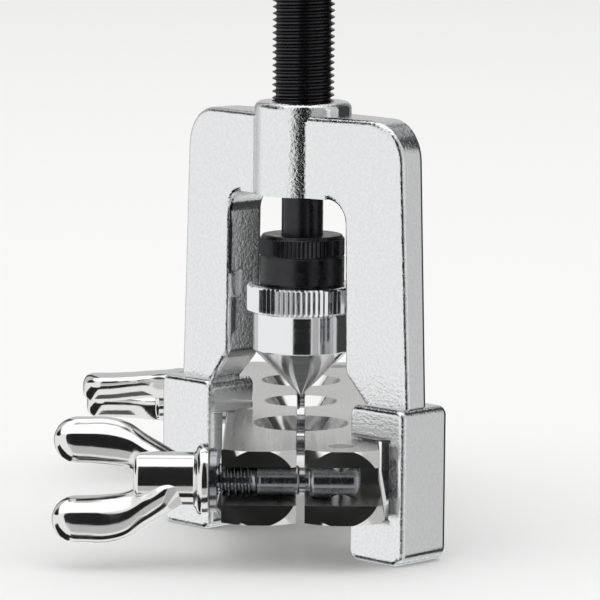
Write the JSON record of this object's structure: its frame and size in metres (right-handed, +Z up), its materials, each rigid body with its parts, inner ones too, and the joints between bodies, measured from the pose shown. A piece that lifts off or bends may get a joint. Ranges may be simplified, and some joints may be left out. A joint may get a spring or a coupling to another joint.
{
  "type": "yoke and split bar flaring tool",
  "caption": "Flaring tool: a yoke hooks round a split bar and a feed screw presses a swivelling 90 degree cone into a tube clamped between the jaws by wing nuts.",
  "frame": {"origin": "on the feed screw's axis, at mid-thickness of the split bar, in the largest tube hole", "axes": "+Z up along the feed screw, away from the bar; Y along the bar with its front end at -Y; +X towards the jaw that holds the pivot pins"},
  "size_m": [0.11, 0.1215, 0.1222],
  "materials": {
    "cast_chrome": "bright chrome over fine cast grain",
    "black_oxide": "oiled black oxide on machined steel",
    "spring_steel": "plain spring steel",
    "handle_chrome": "bright chrome on a turned surface",
    "turned_chrome": "polished chrome on turned steel",
    "polished_steel": "ground and polished",
    "satin_nickel": "satin nickel on ground faces",
    "zinc_steel": "bright zinc plate",
    "nickel_forging": "bright nickel over a forging"
  },
  "bodies": {
    "right_jaw": {"jaw_right": "satin_nickel", "pivot_pin_front": "polished_steel", "pivot_pin_rear": "polished_steel", "guide_pin_front": "polished_steel", "guide_pin_rear": "polished_steel"},
    "left_jaw": {"jaw_left": "satin_nickel"},
    "front_bolt": {"swing_bolt_front": "zinc_steel"},
    "rear_bolt": {"swing_bolt_rear": "zinc_steel"},
    "front_washer": {"washer_front": "zinc_steel"},
    "rear_washer": {"washer_rear": "zinc_steel"},
    "front_nut": {"wing_nut_front": "nickel_forging"},
    "rear_nut": {"wing_nut_rear": "nickel_forging"},
    "yoke_frame": {"yoke": "cast_chrome"},
    "cone_head": {"flaring_cone": "turned_chrome", "swivel_collar": "black_oxide", "thrust_ball": "polished_steel"},
    "screw": {"feed_screw": "black_oxide", "retaining_ring": "spring_steel"},
    "handle": {"cross_bar": "handle_chrome", "knob_left": "handle_chrome", "knob_right": "handle_chrome"}
  },
  "joints": [
    {"name": "yoke_twist", "type": "hinge", "parent": "right_jaw", "child": "yoke_frame", "pos_m": [0, 0, 0], "axis": [0, 0, 1], "range_deg": [0, 45]},
    {"name": "cone_feed", "type": "slide", "parent": "yoke_frame", "child": "cone_head", "axis": [0, 0, 1], "range_m": [-0.0128, 0.0074]},
    {"name": "screw_turn", "type": "hinge", "parent": "cone_head", "child": "screw", "pos_m": [0, 0, 0.06], "axis": [0, 0, 1], "range_deg": [-3686, 2131]},
    {"name": "cross_bar_slide", "type": "slide", "parent": "screw", "child": "handle", "axis": [1, 0, 0], "range_m": [-0.0375, 0.0375]},
    {"name": "jaw_slide", "type": "slide", "parent": "right_jaw", "child": "left_jaw", "axis": [-1, 0, 0], "range_m": [-0.0015, 0.00035]},
    {"name": "front_bolt_swing", "type": "hinge", "parent": "right_jaw", "child": "front_bolt", "pos_m": [0.0076, -0.0268, 0.0004], "axis": [0, 0, 1], "range_deg": [0, 110]},
    {"name": "rear_bolt_swing", "type": "hinge", "parent": "right_jaw", "child": "rear_bolt", "pos_m": [0.0076, 0.076, 0.0004], "axis": [0, 0, -1], "range_deg": [0, 110]},
    {"name": "front_washer_slide", "type": "slide", "parent": "front_bolt", "child": "front_washer", "axis": [-1, 0, 0], "range_m": [-0.0015, 0.00035]},
    {"name": "rear_washer_slide", "type": "slide", "parent": "rear_bolt", "child": "rear_washer", "axis": [-1, 0, 0], "range_m": [-0.0015, 0.00035]},
    {"name": "front_nut_turn", "type": "hinge", "parent": "front_washer", "child": "front_nut", "pos_m": [-0.02, -0.0268, 0.0004], "axis": [-1, 0, 0], "range_deg": [-426, 100]},
    {"name": "rear_nut_turn", "type": "hinge", "parent": "rear_washer", "child": "rear_nut", "pos_m": [-0.02, 0.076, 0.0004], "axis": [-1, 0, 0], "range_deg": [-426, 100]}
  ],
  "couplings": [
    {"joint": "cone_feed", "follows": "screw_turn", "m_per_rad": 0.00019894},
    {"joint": "front_washer_slide", "follows": "jaw_slide", "ratio": 1},
    {"joint": "rear_washer_slide", "follows": "jaw_slide", "ratio": 1},
    {"joint": "front_nut_turn", "follows": "jaw_slide", "rad_per_m": 4947.4},
    {"joint": "rear_nut_turn", "follows": "jaw_slide", "rad_per_m": 4947.4}
  ]
}
